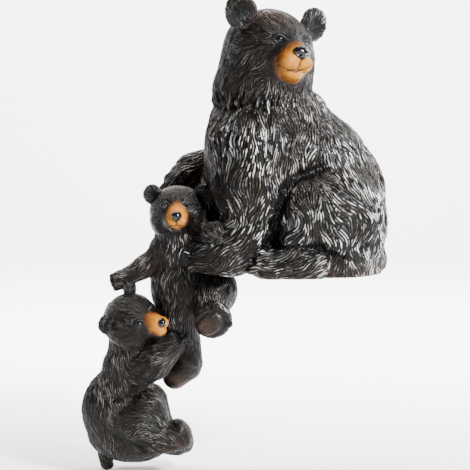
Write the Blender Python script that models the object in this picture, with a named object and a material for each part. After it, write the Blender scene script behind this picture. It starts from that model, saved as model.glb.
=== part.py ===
"""Mother bear and two cubs: one resin casting that sits on a shelf's edge.

The mother sits on the shelf and the cubs hang over its edge. The poses are written in 190ths of
the mother's seated height, so at full size one step is one millimetre. +Z is up, the cubs hang
towards -X, and -Y is the side that is meant to be seen.
"""

import math

import bmesh
import bpy
import numpy as np
from mathutils import Matrix, Vector, noise

# The driving size, in metres, and the step that every pose is written in
SEATED_HEIGHT = 0.190
STEP = SEATED_HEIGHT / 190

# The shelf's edge, and the shelf corner that the figures hang around
SHELF_EDGE_X = -50.5 * STEP

# The carved locks of fur
LOCK_WIDTH = 10 * STEP
LOCK_LENGTH = 34 * STEP
LOCK_DEPTH = 2.2 * STEP
LOCK_WAVE_LENGTH = 22 * STEP
LOCK_WAVE_TURN = 1.0

# How coarse the clay is, and how softly its forms run into each other
CLAY_GRAIN = 1.3 * STEP
MOTHER_SOFTNESS = 2.2 * STEP
CUB_SOFTNESS = 1.2 * STEP
FACE_SOFTNESS = 0.055
LIE_SOFTNESS = 4 * STEP
FIRST_SMOOTHING = 8
LAST_SMOOTHING = 4
MOST_TRIANGLES = 9300

# The finish
RESIN_BLACK = (0.030, 0.027, 0.025, 1.0)
RESIN_ROUGHNESS = 0.42


class Egg:
    """An egg-shaped mass. The fur on it lies one way, or away from a point such as the nose."""

    def __init__(self, centre, radii, lie=(0, 0, -1), fur=1.0, axes=None, lie_from=None):
        self.centre = np.array(centre, float) * STEP
        self.radii = np.array(radii, float) * STEP
        self.axes = np.eye(3) if axes is None else np.array(axes, float)
        self.lie = np.array(lie, float)
        self.lie_from = None if lie_from is None else np.array(lie_from, float) * STEP
        self.fur = fur

    def add_to(self, clay):
        shape = Matrix((self.axes * self.radii[:, None]).T.tolist()).to_4x4()
        place = Matrix.Translation(self.centre.tolist()) @ shape
        bmesh.ops.create_icosphere(clay, subdivisions=4, radius=1.0, matrix=place)

    def depth(self, points):
        """Roughly how far outside the egg each point is."""
        local = (points - self.centre) @ self.axes.T / self.radii
        share = np.linalg.norm(local, axis=1)
        return share * (share - 1) / np.linalg.norm(local / self.radii, axis=1)

    def lies(self, points):
        if self.lie_from is None:
            return np.tile(self.lie, (len(points), 1))
        away = points - self.lie_from
        return away / np.linalg.norm(away, axis=1, keepdims=True)


class Limb:
    """A tapered stretch of limb with round ends. The fur on it runs from a to b."""

    def __init__(self, a, radius_a, b, radius_b, fur=1.0):
        self.a, self.b = np.array(a, float) * STEP, np.array(b, float) * STEP
        self.radius_a, self.radius_b = radius_a * STEP, radius_b * STEP
        self.fur = fur

    def add_to(self, clay):
        """A ball cut across its middle, with one half moved to each end of the limb."""
        before = len(clay.verts)
        bmesh.ops.create_icosphere(clay, subdivisions=4, radius=1.0)
        clay.verts.ensure_lookup_table()
        for vert in clay.verts[before:]:
            outward = np.array(vert.co)
            if outward @ (self.b - self.a) > 0:
                vert.co = self.b + outward * self.radius_b
            else:
                vert.co = self.a + outward * self.radius_a

    def depth(self, points):
        along = self.b - self.a
        share = np.clip((points - self.a) @ along / (along @ along), 0, 1)
        nearest = self.a + share[:, None] * along
        radius = self.radius_a + share * (self.radius_b - self.radius_a)
        return np.linalg.norm(points - nearest, axis=1) - radius

    def lies(self, points):
        along = self.b - self.a
        return np.tile(along / np.linalg.norm(along), (len(points), 1))


def chain(*joints):
    """Limbs through the joints, each given as x, y, z and radius."""
    return [Limb(a[:3], a[3], b[:3], b[3]) for a, b in zip(joints, joints[1:])]


def unit(vector):
    vector = np.array(vector, float)
    return vector / np.linalg.norm(vector)


class Head:
    """A bear's head: its places are shares of its radius, as (to its right, ahead, above)."""

    def __init__(self, centre, radius, forward, up, ear, ears_at, eye, eyes_at, nose, smile, muzzle=1.0, ruff=True):
        self.centre = np.array(centre, float)
        self.radius = radius
        self.ahead = unit(forward)
        self.right = unit(np.cross(self.ahead, up))
        self.above = np.cross(self.right, self.ahead)
        self.muzzle = muzzle
        self.ear, self.ears_at = ear, ears_at
        self.eye, self.eyes_at = eye, eyes_at
        self.nose = nose
        self.smile = smile
        self.ruff = ruff

    def at(self, right, ahead, above):
        turned = self.right * right + self.ahead * ahead + self.above * above
        return self.centre + turned * self.radius

    def egg(self, place, radii, fur=1.0):
        return Egg(
            self.at(*place),
            [share * self.radius for share in radii],
            fur=fur,
            axes=(self.right, self.ahead, self.above),
            lie_from=self.at(0, 1.3 * self.muzzle, 0.05),
        )

    def ear_axes(self, side):
        """The ear's own axes: along its width, out of its cup, and towards its tip."""
        facing = unit(self.ahead + self.right * side * 0.22)
        tip = unit(self.above + self.right * side * 0.50)
        tip = unit(tip - facing * (tip @ facing))
        return np.cross(facing, tip), facing, tip

    def masses(self):
        """Skull, cheeks, brows and the root of the muzzle, which run into each other softly."""
        m = self.muzzle
        made = [
            self.egg((0, -0.05, 0.05), (1.0, 0.96, 0.88)),
            self.egg((0, 0.70 * m, -0.16), (0.50, 0.54, 0.44), fur=0.0),
            self.limb((0, 0.60, 0.20), 0.34, (0, 1.04 * m, 0.0), 0.27),
        ]
        for side in (1, -1):
            made.append(self.egg((0.46 * side, 0.16, -0.30), (0.51, 0.58, 0.54)))
            made.append(self.egg((0.34 * side, 0.56, 0.32), (0.30, 0.30, 0.22)))
        if self.ruff:
            made.append(self.egg((0, -0.1, -0.36), (0.90, 0.76, 0.62)))
        return made

    def details(self):
        """Lips, chin, nose, eyes and ears, which keep their own edges."""
        m = self.muzzle
        half_width, half_height = self.nose
        made = [
            self.egg((0, 0.88 * m, -0.44), (0.29, 0.34, 0.19), fur=0.0),
            self.egg((0, 1.24 * m, 0.03), (half_width, half_height, half_height), fur=0.0),
        ]
        for side in (1, -1):
            made.append(self.egg((0.17 * side, 1.02 * m, -0.19), (0.27, 0.29, 0.22), fur=0.0))
            right, ahead, above = self.eyes_at
            made.append(self.egg((right * side, ahead, above), (self.eye, self.eye, self.eye), fur=0.0))
            right, ahead, above = self.ears_at
            made.append(
                Egg(
                    self.at(right * side, ahead, above),
                    [share * self.ear * self.radius for share in (1.0, 0.50, 1.05)],
                    axes=self.ear_axes(side),
                    lie_from=self.at(right * side * 0.6, ahead, above * 0.6),
                )
            )
        return made

    def face(self, points):
        """Which points are on the face, from the brows to the chin."""
        middle = self.at(0, 0.95, -0.08) * STEP
        return np.linalg.norm(points - middle, axis=1) < 0.72 * self.radius * STEP

    def limb(self, a, radius_a, b, radius_b):
        return Limb(self.at(*a), radius_a * self.radius, self.at(*b), radius_b * self.radius, fur=0.0)


MOTHER_HEAD = Head(
    (-33, -8, 154), 31, forward=(0.542, -0.838, -0.06), up=(0.12, 0.07, 1),
    ear=0.38, ears_at=(0.98, 0.13, 0.74), eye=0.10, eyes_at=(0.37, 0.845, 0.265), nose=(0.215, 0.155),
    smile=((0.41, 0.90, -0.305), (0.32, 1.02, -0.365), (0.20, 1.14, -0.395), (0, 1.22, -0.375)), ruff=False,
)
UPPER_CUB_HEAD = Head(
    (-96, -20, 43.5), 19.5, forward=(-0.015, -0.99, -0.075), up=(0, 0, 1),
    ear=0.36, ears_at=(0.88, 0, 0.62), eye=0.12, eyes_at=(0.405, 0.83, 0.36), nose=(0.215, 0.17),
    smile=((0.20, 1.20, -0.27), (0.11, 1.26, -0.315), (0, 1.28, -0.30)),
)
LOWER_CUB_HEAD = Head(
    (-128.5, -26, -31), 19.5, forward=(0.812, -0.583, -0.005), up=(-0.30, -0.60, 0.74), muzzle=1.12,
    ear=0.36, ears_at=(0.86, -0.17, 0.75), eye=0.12, eyes_at=(0.385, 0.83, 0.35), nose=(0.18, 0.16),
    smile=((0.22, 1.30, -0.27), (0.12, 1.37, -0.315), (0, 1.40, -0.30)),
)


class Sole:
    """A flat sole with a raised pad. Its places are in steps."""

    def __init__(self, centre, along, out, pad, reach, rise):
        self.centre = np.array(centre, float) * STEP
        self.out = unit(out)
        self.across = unit(np.cross(self.out, along))
        self.along = np.cross(self.across, self.out)
        self.half_length, self.half_width = pad[0] * STEP, pad[1] * STEP
        self.reach, self.rise = reach * STEP, rise * STEP

    def press(self, mesh):
        """Presses what stands in front of the sole onto it, and leaves the pad standing."""
        points = places_of(mesh)
        offset = points - self.centre
        along, across, out = offset @ self.along, offset @ self.across, offset @ self.out
        pad = np.clip(1 - (along / self.half_length) ** 2 - (across / self.half_width) ** 2, 0, 1)
        in_front = (np.hypot(along, across) < self.reach) & (out > 0)
        pressed = np.where(in_front, self.rise * np.sqrt(pad), out)
        move_to(mesh, points + self.out * (pressed - out)[:, None])


UPPER_SOLE = Sole(
    (-73.8, -49, -31), along=(0.82, 0, 0.57), out=(-0.10, -0.97, -0.18), pad=(8.5, 6.0), reach=16, rise=1.2
)


def paw(centre, ahead, top, radius, reach=1.25):
    """A paw: a pad with four toes across its front end. The fur stops at the toes."""
    ahead, top = unit(ahead), unit(top)
    across = np.cross(ahead, top)
    centre = np.array(centre, float)
    made = [Egg(centre, (radius * reach, radius, radius * 0.85), lie=ahead, axes=(ahead, across, top))]
    for share in (-0.66, -0.22, 0.22, 0.66):
        forward = reach * (0.98 - 0.45 * share * share)
        toe = centre + radius * (ahead * forward + across * share * 0.95 - top * 0.12)
        size = radius * 0.33
        made.append(Egg(toe, (size * 1.25, size, size), lie=ahead, axes=(ahead, across, top)))
    return made


def mother():
    masses = [
        Egg((6, 4, 36), (42, 46, 46)),
        Egg((8, 2, 10), (40, 46, 30)),
        Egg((2, 4, 58), (46, 42, 38), lie=(0.05, 0, -1)),
        Egg((-20, 3, 73), (57, 45, 44), lie=(0.1, 0, -1)),
        Egg((-22, 0, 106), (31, 36, 26), lie=(0.1, 0, -1)),
        Egg((-44, -4, 90), (33, 36, 36)),
        Egg((-46, 12, 54), (31, 26, 34)),
        Egg((-70, 8, 42), (16, 18, 26)),
        Egg((-27, -22, 22), (18, 20, 18)),
        Limb((-35, -4, 142), 32.5, (-38, -5, 126), 34.5),
        Limb((-36, -3, 134), 29, (-37, -2, 108), 35.5),
    ]
    masses += chain((-45, -22, 88, 30), (-46, -29, 60, 25), (-47, -36, 34, 16), (-62, -40, 17, 13.5))
    masses += chain((-62, -40, 17, 13.5), (-73, -38.5, 14.5, 12))
    masses += chain((-55, 24, 75, 17), (-85, 26, 69, 12.5), (-97, 16, 61, 10.5))
    masses.append(Egg((-55, -38, 13), (12, 12, 11)))
    details = paw((-76.5, -38.5, 14.5), (-1, 0.05, 0), (0, -1, 0.2), 11.3, reach=0.95)
    details += paw((-100, 13, 59), (-1, -0.6, -0.9), (-0.6, 0, 0.7), 9)
    for side in (-1, 1):
        masses += [
            Egg((14, 27 * side, 36), (34, 24, 37), lie=(0.15, 0, -1)),
            Limb((-8, 38 * side, 52), 16, (14, 31 * side, 44), 21),
            Limb((-8, 38 * side, 50), 16, (-17, 41 * side, 18), 12),
        ]
        details.append(Limb((-3, 43.5 * side, 10), 11.5, (-34, 44 * side, 9.5), 11.5))
        details += paw((-35, 44 * side, 8.5), (-1, 0, 0), (0, 0, 1), 11, reach=1.05)
    details.append(Egg((42, 0, 9), (8, 8, 9)))
    return masses, details, MOTHER_HEAD


def upper_cub():
    masses = [
        Egg((-92, -12, -8), (23.5, 20, 31)),
        Egg((-96, -14, 16), (20, 18, 16)),
        Egg((-71, -16, -11), (16, 17, 18)),
        Limb((-97, -18, 34), 15, (-97, -14, 14), 15),
    ]
    masses += chain((-105, -14, 15, 9.5), (-120, -18, 5, 7.2), (-132, -20.5, -2, 6.4))
    masses += chain((-82, -18, 16, 10), (-72, -38, 26, 9))
    masses += chain((-72, -24, -12, 14), (-73, -34, -24, 12))
    masses += chain((-96, -12, -28, 15), (-94, -11, -48, 12.5), (-91, -12, -60, 11.5))
    masses.append(Limb((-98.5, -14, -72), 8.8, (-90.5, -13, -65), 10.3, fur=0.1))
    details = paw((-135.5, -21, -3.5), (-1, -0.1, -0.3), (0, -1, 0.2), 6.9, reach=0.75)
    details += paw((-71, -43, 31), (0.45, -0.75, -0.5), (-0.2, -0.6, 0.8), 9.2, reach=0.85)
    across = np.cross(UPPER_SOLE.out, UPPER_SOLE.along)
    foot = UPPER_SOLE.centre / STEP - UPPER_SOLE.out * 8 + UPPER_SOLE.along * 1.5
    details.append(Egg(foot, (13.2, 12.4, 11), axes=(UPPER_SOLE.along, across, UPPER_SOLE.out), lie=(0, 0, 1)))
    for share in (-0.75, -0.25, 0.25, 0.75):
        toe = foot + UPPER_SOLE.along * (10.6 - 3.6 * share**2) + across * share * 9 + UPPER_SOLE.out * 4.5
        details.append(Egg(toe, (3.2, 3.2, 4.6), axes=(UPPER_SOLE.along, across, UPPER_SOLE.out)))
    return masses, details, UPPER_CUB_HEAD


def lower_cub():
    masses = [
        Egg((-137, -16, -95), (26.5, 23, 30)),
        Egg((-130, -16, -66), (19, 20, 19)),
        Egg((-134, -14, -113), (25, 23, 17)),
        Egg((-126, -18, -119), (22, 19, 12)),
        Limb((-129, -20, -44), 15, (-129, -16, -62), 16),
        Egg((-111, -18, -46), (9, 8, 9)),
    ]
    masses += chain((-123, -27, -66, 12), (-112, -30, -60, 11), (-100, -27, -49, 8.5))
    masses += chain((-126, -2, -62, 11), (-108, 4, -58, 9), (-96, 4, -52, 8))
    details = paw((-97, -25, -45), (0.6, 0.5, 0.75), (0, -1, 0.3), 7, reach=1.0)
    sole_axes = (unit((0.9, 0, 0.42)), (0, 1, 0), unit((-0.42, 0, 0.9)))
    for y, fall in ((-31, 0), (-4, 8)):
        masses += chain((-124, y + 3, -100, 18), (-117, y + 1, -91, 12), (-112, y, -108, 12))
        masses.append(Limb((-112, y, -113 - fall / 2), 10.5, (-98, y, -110.5 - fall), 11, fur=0.15))
        details.append(Egg((-94, y, -109 - fall), (7.5, 10.2, 11.2), axes=sole_axes, fur=0.1))
    details.append(Limb((-149, -14, -120), 5.5, (-146, -16, -133), 4.5))
    return masses, details, LOWER_CUB_HEAD


FACE_TRIANGLES = ((MOTHER_HEAD, 620), (UPPER_CUB_HEAD, 330), (LOWER_CUB_HEAD, 330))
FIGURES = ((mother, MOTHER_SOFTNESS), (upper_cub, CUB_SOFTNESS), (lower_cub, CUB_SOFTNESS))


def in_clay(name, forms):
    """The forms pressed into one lump: an object whose mesh holds them all, not yet joined."""
    clay = bmesh.new()
    for form in forms:
        form.add_to(clay)
    bmesh.ops.recalc_face_normals(clay, faces=clay.faces)
    mesh = bpy.data.meshes.new(name)
    clay.to_mesh(mesh)
    clay.free()
    lump = bpy.data.objects.new(name, mesh)
    bpy.context.scene.collection.objects.link(lump)
    return lump


def settle(lump):
    """Gives the object the mesh that its modifiers make of it."""
    graph = bpy.context.evaluated_depsgraph_get()
    finished = bpy.data.meshes.new_from_object(lump.evaluated_get(graph))
    lump.modifiers.clear()
    lump.data = finished


def smooth_clay(lump, times):
    remesh = lump.modifiers.new("one_skin", "REMESH")
    remesh.mode = "VOXEL"
    remesh.voxel_size = CLAY_GRAIN
    smooth = lump.modifiers.new("thumbed_smooth", "SMOOTH")
    smooth.factor = 0.5
    smooth.iterations = times
    settle(lump)


def places_of(mesh):
    points = np.empty(len(mesh.vertices) * 3, np.float32)
    mesh.vertices.foreach_get("co", points)
    return points.reshape(-1, 3).astype(float)


def normals_of(mesh):
    normals = np.empty(len(mesh.vertices) * 3, np.float32)
    mesh.vertex_normals.foreach_get("vector", normals)
    return normals.reshape(-1, 3).astype(float)


def move_to(mesh, points):
    mesh.vertices.foreach_set("co", points.astype(np.float32).ravel())
    mesh.update()


def blend(lump, forms, softness):
    """Moves the skin out to where the forms, taken together, run into each other softly."""
    for _ in range(4):
        points = places_of(lump.data)
        nearness = sum(np.exp(np.clip(-form.depth(points) / softness, -30, 8)) for form in forms)
        outside = np.clip(-np.log(nearness), -2, 2) * softness
        move_to(lump.data, points - normals_of(lump.data) * outside[:, None])


def model_clay():
    """The three figures in clay, each blended by itself, then pressed together into one skin."""
    whole = bmesh.new()
    every_form = []
    for figure, softness in FIGURES:
        masses, details, head = figure()
        for forms, soft in ((masses, softness), (head.masses(), FACE_SOFTNESS * head.radius * STEP)):
            lump = in_clay("masses", forms)
            smooth_clay(lump, FIRST_SMOOTHING)
            blend(lump, forms, soft)
            whole.from_mesh(lump.data)
            bpy.data.objects.remove(lump)
            every_form += forms
        for form in details + head.details():
            form.add_to(whole)
            every_form.append(form)
    mesh = bpy.data.meshes.new("bear_family")
    whole.to_mesh(mesh)
    whole.free()
    family = bpy.data.objects.new("bear_family", mesh)
    bpy.context.scene.collection.objects.link(family)
    smooth_clay(family, LAST_SMOOTHING)
    return family, every_form


def keep_largest_skin(mesh):
    """Drops every skin but the outer one, such as those of bubbles caught inside."""
    clay = bmesh.new()
    clay.from_mesh(mesh)
    clay.verts.ensure_lookup_table()
    unseen = set(clay.verts)
    skins = []
    while unseen:
        edge = [unseen.pop()]
        skin = list(edge)
        while edge:
            vert = edge.pop()
            for link in vert.link_edges:
                other = link.other_vert(vert)
                if other in unseen:
                    unseen.remove(other)
                    edge.append(other)
                    skin.append(other)
        skins.append(skin)
    skins.sort(key=len)
    for skin in skins[:-1]:
        bmesh.ops.delete(clay, geom=skin, context="VERTS")
    clay.to_mesh(mesh)
    clay.free()


def neighbours_of(mesh):
    """For each vertex, up to 12 vertices that share a face with it, filled up with itself."""
    faces = [tuple(polygon.vertices) for polygon in mesh.polygons]
    pairs = np.array([(a, b) for face in faces for a in face for b in face if a != b])
    pairs = np.unique(pairs, axis=0)
    count = len(mesh.vertices)
    first = np.searchsorted(pairs[:, 0], np.arange(count))
    rank = np.arange(len(pairs)) - first[pairs[:, 0]]
    table = np.tile(np.arange(count)[:, None], (1, 12))
    fits = rank < 12
    table[pairs[fits, 0], rank[fits]] = pairs[fits, 1]
    return table


def noise_at(points, size, seed):
    offset = Vector((seed * 3.7, seed * 1.3, seed * 2.1))
    return np.array([noise.noise(Vector(p) / size + offset) for p in points.tolist()])


def comb(points, normals, forms):
    """The way the fur lies at each point, and how furry the point is."""
    lie = np.zeros_like(points)
    fur = np.zeros(len(points))
    total = np.full(len(points), 1e-9)
    for form in forms:
        weight = np.exp(-np.clip(form.depth(points) / LIE_SOFTNESS, 0, 12))
        lie += form.lies(points) * weight[:, None]
        fur += weight * form.fur
        total += weight
    lie -= normals * np.sum(lie * normals, axis=1, keepdims=True)
    lie /= np.linalg.norm(lie, axis=1, keepdims=True) + 1e-12
    across = np.cross(normals, lie)
    turn = LOCK_WAVE_TURN * noise_at(points, LOCK_WAVE_LENGTH, 1)
    return lie * np.cos(turn)[:, None] + across * np.sin(turn)[:, None], fur / total


def stroke(values, points, lie, table):
    """Averages the values along the fur, walking from vertex to vertex both ways."""
    total = values.copy()
    count = 1
    for way in (1, -1):
        at = np.arange(len(points))
        place = points.copy()
        for _ in range(round(LOCK_LENGTH / 2 / CLAY_GRAIN)):
            place = place + lie[at] * CLAY_GRAIN * way
            nearby = table[at]
            gaps = points[nearby] - place[:, None, :]
            at = nearby[np.arange(len(at)), np.argmin(np.einsum("ijk,ijk->ij", gaps, gaps), axis=1)]
            total += values[at]
            count += 1
    return total / count


def carve_fur(mesh, forms):
    """Cuts the locks of fur: long low ridges that follow the lie of the fur."""
    points, normals = places_of(mesh), normals_of(mesh)
    lie, fur = comb(points, normals, forms)
    table = neighbours_of(mesh)
    locks = stroke(noise_at(points, LOCK_WIDTH, 2), points, lie, table)
    ridge = np.clip(np.abs(locks / locks.std()) / 1.4, 0, 1) ** 0.7
    move_to(mesh, points + normals * (LOCK_DEPTH * (ridge - 0.45) * np.clip(fur, 0, 1))[:, None])


def hollow_ears(mesh, head):
    points = places_of(mesh)
    for side in (1, -1):
        width, facing, tip = head.ear_axes(side)
        right, ahead, above = head.ears_at
        centre = head.at(right * side, ahead, above) * STEP
        size = head.ear * head.radius * STEP
        local = points - centre
        off_axis = np.hypot(local @ width, local @ tip) / (0.74 * size)
        in_cup = (off_axis < 1) & (local @ facing > 0)
        depth = np.where(in_cup, 0.46 * size * (1 - off_axis**2), 0)
        points = points - facing * depth[:, None]
    move_to(mesh, points)


def carve_mouth(mesh, head):
    """The smiling line of the lips and the short line up to the nose."""
    points, normals = places_of(mesh), normals_of(mesh)
    right, ahead, above = head.smile[-1]
    other_side = [(-r, a, u) for r, a, u in head.smile]
    lines = [head.smile, other_side, [(right, ahead, above), (0, ahead + 0.05, -0.12)]]
    pressed = np.zeros(len(points))
    width = 0.07 * head.radius * STEP
    for line in lines:
        for a, b in zip(line, line[1:]):
            for share in np.linspace(0, 1, 12):
                spot = head.at(*(np.array(a) * (1 - share) + np.array(b) * share)) * STEP
                spot = points[np.argmin(np.linalg.norm(points - spot, axis=1))]
                near = 1 - np.linalg.norm(points - spot, axis=1) / width
                pressed = np.maximum(pressed, np.clip(near, 0, 1))
    move_to(mesh, points - normals * (0.05 * head.radius * STEP * pressed)[:, None])


def thin_out(lump, chosen, kept):
    """Fewer triangles among the chosen vertices, spent where the carving is sharpest."""
    corners = [len(polygon.vertices) for polygon in lump.data.polygons]
    inside = [all(chosen[v] for v in polygon.vertices) for polygon in lump.data.polygons]
    triangles = sum(count - 2 for count in corners)
    among = sum(count - 2 for count, within in zip(corners, inside) if within)
    loose = lump.vertex_groups.new(name="loose")
    loose.add(np.nonzero(chosen)[0].tolist(), 1.0, "REPLACE")
    decimate = lump.modifiers.new("fewer_triangles", "DECIMATE")
    decimate.ratio = (triangles - among + kept) / triangles
    decimate.vertex_group = loose.name
    settle(lump)
    lump.vertex_groups.clear()


def thin_out_all(lump):
    """The faces are thinned first, to their own counts, and then the rest around them."""
    for head, kept in FACE_TRIANGLES:
        thin_out(lump, head.face(places_of(lump.data)), kept)
    points = places_of(lump.data)
    faces = np.any([head.face(points) for head, _ in FACE_TRIANGLES], axis=0)
    on_faces = sum(kept for _, kept in FACE_TRIANGLES)
    thin_out(lump, ~faces, MOST_TRIANGLES - on_faces)


def cut_seat(lump):
    """Takes away the corner that the shelf fills, which leaves a flat seat at z = 0."""
    block = bmesh.new()
    reach, depth = SEATED_HEIGHT, SEATED_HEIGHT / 2
    place = Matrix.Translation((SHELF_EDGE_X + reach / 2, 0, -depth / 2))
    place @= Matrix.Diagonal((reach, reach, depth, 1))
    bmesh.ops.create_cube(block, size=1.0, matrix=place)
    mesh = bpy.data.meshes.new("shelf_corner")
    block.to_mesh(mesh)
    block.free()
    corner = bpy.data.objects.new("shelf_corner", mesh)
    bpy.context.scene.collection.objects.link(corner)
    cut = lump.modifiers.new("seat", "BOOLEAN")
    cut.operation = "DIFFERENCE"
    cut.solver = "EXACT"
    cut.object = corner
    settle(lump)
    bpy.data.objects.remove(corner)


def resin():
    material = bpy.data.materials.new("cast_resin")
    material.use_nodes = True
    shader = material.node_tree.nodes["Principled BSDF"]
    shader.inputs["Base Color"].default_value = RESIN_BLACK
    shader.inputs["Roughness"].default_value = RESIN_ROUGHNESS
    return material


def main():
    for old in list(bpy.data.objects):
        bpy.data.objects.remove(old)
    family, forms = model_clay()
    keep_largest_skin(family.data)
    carve_fur(family.data, forms)
    for head in (MOTHER_HEAD, UPPER_CUB_HEAD, LOWER_CUB_HEAD):
        hollow_ears(family.data, head)
        carve_mouth(family.data, head)
    UPPER_SOLE.press(family.data)
    thin_out_all(family)
    cut_seat(family)
    keep_largest_skin(family.data)
    family.data.materials.append(resin())
    return family


if __name__ == "__main__":
    main()
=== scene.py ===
# %% [markdown]
# # A shelf sitter in cast resin: mother bear and two cubs
#
# The real thing is one casting: three bears modelled in clay with combed fur, cast in resin, sprayed
# black-brown and brushed with silver-grey over the tips. The muzzles are tan, the eyes and noses gloss.
#
# This script works in the same order: clay forms, one skin, combed fur, faces, paint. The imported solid
# gives the place and the size of everything. The fine figures stand for it in the picture.

# %% The frame
import math

import bmesh
import bpy
import numpy as np
from mathutils import Matrix, Vector, kdtree, noise


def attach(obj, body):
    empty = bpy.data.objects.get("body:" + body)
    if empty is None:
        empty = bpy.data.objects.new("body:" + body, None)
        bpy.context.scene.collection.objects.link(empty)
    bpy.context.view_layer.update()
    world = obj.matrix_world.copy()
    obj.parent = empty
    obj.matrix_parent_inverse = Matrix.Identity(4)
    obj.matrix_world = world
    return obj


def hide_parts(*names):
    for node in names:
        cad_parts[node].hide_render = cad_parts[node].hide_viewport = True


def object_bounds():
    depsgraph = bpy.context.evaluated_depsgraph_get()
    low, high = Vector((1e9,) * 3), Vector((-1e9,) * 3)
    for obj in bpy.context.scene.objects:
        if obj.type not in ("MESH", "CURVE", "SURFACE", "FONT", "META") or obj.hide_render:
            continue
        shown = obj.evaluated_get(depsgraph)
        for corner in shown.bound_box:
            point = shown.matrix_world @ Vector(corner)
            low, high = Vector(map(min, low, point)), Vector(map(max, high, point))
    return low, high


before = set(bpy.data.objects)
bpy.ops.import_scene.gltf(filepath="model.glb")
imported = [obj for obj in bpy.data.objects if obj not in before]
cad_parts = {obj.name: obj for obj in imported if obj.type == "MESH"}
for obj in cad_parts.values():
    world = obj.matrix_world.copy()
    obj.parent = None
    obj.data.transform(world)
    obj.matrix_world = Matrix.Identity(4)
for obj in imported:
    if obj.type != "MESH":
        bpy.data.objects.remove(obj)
solid_low, solid_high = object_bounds()
print("solid's box in mm:", [round(v * 1000, 1) for v in (*solid_low, *solid_high)])

# %% [markdown]
# ## Sizes
#
# The whole casting is 330.5 steps tall, and the seated mother 192 of them. A step is a millimetre at the
# size of the photographed piece, so poses can be written in small whole numbers. Everything else is
# worked out from the step, and so it follows the frame if the casting is made larger or smaller.

# %% Sizes
STEPS_TALL = 330.5
STEP = (solid_high[2] - solid_low[2]) / STEPS_TALL
SHELF_EDGE_X = -50.5 * STEP
print("one step is", round(STEP * 1000, 4), "mm")

# %% [markdown]
# ## Camera
#
# The photograph looks at the casting from a little above, straight at the side that is meant to be seen.
# A long lens from well over a metre away gives the same flat perspective.

# %% Camera
TARGET = Vector((-56.7, 0, 25.9)) * STEP
CAMERA_DISTANCE = 1.4
CAMERA_RISE = math.radians(5)
SEEN_WIDTH = 0.329
SENSOR = 36

back = Vector((0, -math.cos(CAMERA_RISE), math.sin(CAMERA_RISE)))
lens = bpy.data.cameras.new("camera")
lens.sensor_width = SENSOR
lens.lens = SENSOR * CAMERA_DISTANCE / SEEN_WIDTH
camera = bpy.data.objects.new("camera", lens)
camera.location = TARGET + back * CAMERA_DISTANCE
camera.rotation_euler = back.to_track_quat("Z", "Y").to_euler()
bpy.context.scene.collection.objects.link(camera)
bpy.context.scene.camera = camera
print("lens", round(lens.lens, 1), "mm")

# %% [markdown]
# ## Eggs and limbs
#
# A sculptor builds an animal from simple masses: eggs for the body and the head, tapered rolls for the
# limbs. Each mass knows how to press itself into the clay, how far a point is from its surface, and which
# way the fur on it lies. So the masses run into each other softly, and the fur turns smoothly with them.

# %% Eggs and limbs
def unit(vector):
    vector = np.array(vector, float)
    return vector / np.linalg.norm(vector)


class Egg:
    """An egg-shaped mass. The fur on it lies one way, or away from a point such as the nose."""

    def __init__(self, centre, radii, lie=(0, 0, -1), fur=1.0, axes=None, lie_from=None):
        self.centre = np.array(centre, float) * STEP
        self.radii = np.array(radii, float) * STEP
        self.axes = np.eye(3) if axes is None else np.array(axes, float)
        self.lie = unit(lie)
        self.lie_from = None if lie_from is None else np.array(lie_from, float) * STEP
        self.fur = fur

    def add_to(self, clay):
        shape = Matrix((self.axes * self.radii[:, None]).T.tolist()).to_4x4()
        place = Matrix.Translation(self.centre.tolist()) @ shape
        bmesh.ops.create_icosphere(clay, subdivisions=4, radius=1.0, matrix=place)

    def depth(self, points):
        local = (points - self.centre) @ self.axes.T / self.radii
        share = np.linalg.norm(local, axis=1)
        return share * (share - 1) / np.linalg.norm(local / self.radii, axis=1)

    def lies(self, points):
        if self.lie_from is None:
            return np.tile(self.lie, (len(points), 1))
        away = points - self.lie_from
        return away / np.linalg.norm(away, axis=1, keepdims=True)


class Limb:
    """A tapered stretch of limb with round ends. The fur on it runs from a to b."""

    def __init__(self, a, radius_a, b, radius_b, fur=1.0):
        self.a, self.b = np.array(a, float) * STEP, np.array(b, float) * STEP
        self.radius_a, self.radius_b = radius_a * STEP, radius_b * STEP
        self.fur = fur

    def add_to(self, clay):
        """A ball cut across its middle, with one half moved to each end of the limb."""
        before = len(clay.verts)
        bmesh.ops.create_icosphere(clay, subdivisions=4, radius=1.0)
        clay.verts.ensure_lookup_table()
        for vert in clay.verts[before:]:
            outward = np.array(vert.co)
            if outward @ (self.b - self.a) > 0:
                vert.co = self.b + outward * self.radius_b
            else:
                vert.co = self.a + outward * self.radius_a

    def depth(self, points):
        along = self.b - self.a
        share = np.clip((points - self.a) @ along / (along @ along), 0, 1)
        nearest = self.a + share[:, None] * along
        radius = self.radius_a + share * (self.radius_b - self.radius_a)
        return np.linalg.norm(points - nearest, axis=1) - radius

    def lies(self, points):
        return np.tile(unit(self.b - self.a), (len(points), 1))


def chain(*joints):
    """Limbs through the joints, each given as x, y, z and radius."""
    return [Limb(a[:3], a[3], b[:3], b[3]) for a, b in zip(joints, joints[1:])]


# %% [markdown]
# ## Heads
#
# All three heads are the same sculpture at different sizes and turned different ways, so a head is a
# class. Its places are shares of its radius, which keeps a face in one piece when the head is turned.
# The same axes serve later for the paint on the muzzle.

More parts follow.
